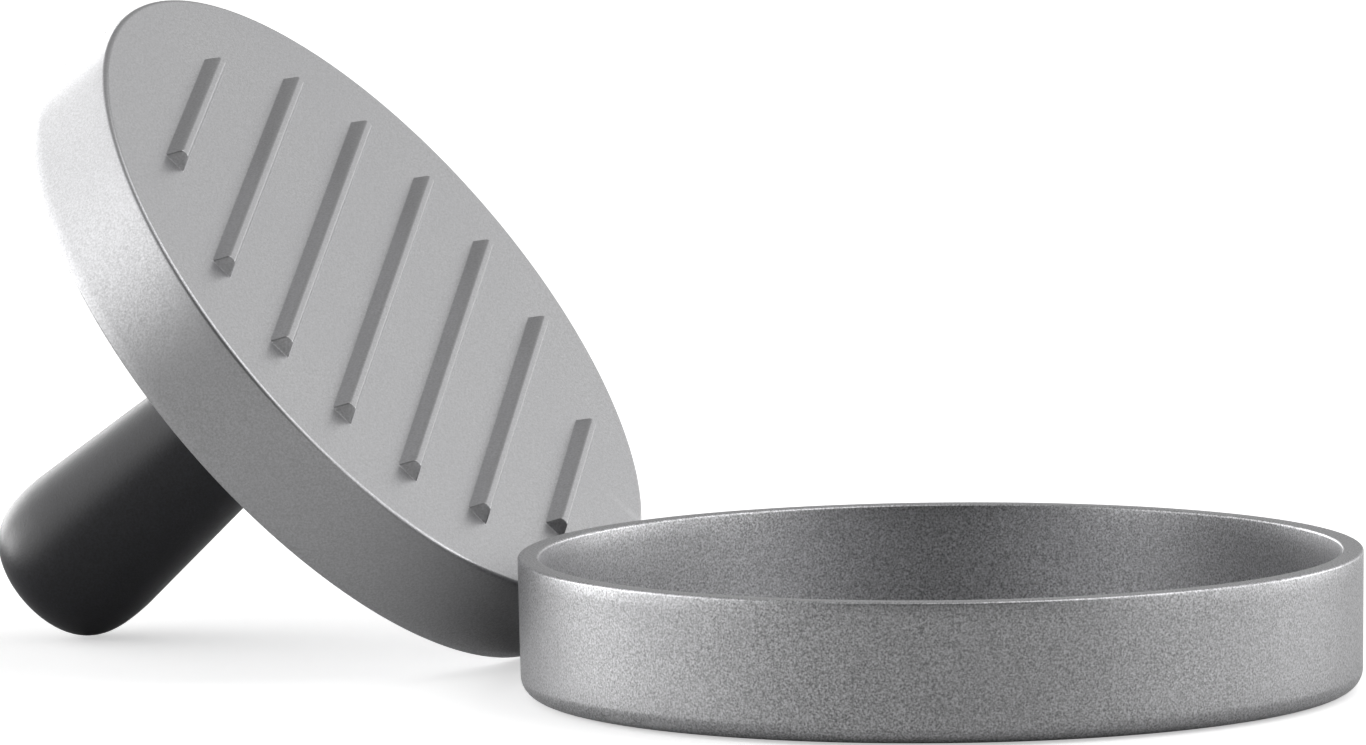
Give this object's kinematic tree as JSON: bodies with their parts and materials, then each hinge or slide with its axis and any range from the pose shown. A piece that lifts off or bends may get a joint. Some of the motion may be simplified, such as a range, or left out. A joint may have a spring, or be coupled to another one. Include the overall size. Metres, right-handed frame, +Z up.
{
  "type": "patty press",
  "caption": "Round cast forming dish with a loose ribbed press plate on a tapered black grip, leaning beside the dish.",
  "frame": {"origin": "centre of the dish's underside, on the surface that the dish stands on", "axes": "+Z up along the dish's axis; +X from the leaning press towards the dish; +Y towards the back, where the press leans a little behind the dish"},
  "size_m": [0.2003, 0.1685, 0.0951],
  "materials": {
    "dish_coating": "silver-grey speckled non-stick coating on cast aluminium",
    "plate_coating": "silver-grey speckled non-stick coating on cast aluminium",
    "grip_moulding": "matte black moulding with a soft satin sheen",
    "zinc_steel": "bright zinc plate",
    "brass": "machined brass"
  },
  "bodies": {
    "dish": {"base_dish": "dish_coating"},
    "press": {"press_plate": "plate_coating", "grip": "grip_moulding", "threaded_stud": "zinc_steel", "lock_washer": "zinc_steel", "threaded_insert": "brass"}
  },
  "joints": [
    {"name": "press_swing", "type": "hinge", "parent": "dish", "child": "press", "pos_m": [-0.04808, 0.02772, 0.01452], "axis": [0.5066, 0.8591, -0.0731], "range_deg": [0, 129.56]}
  ]
}
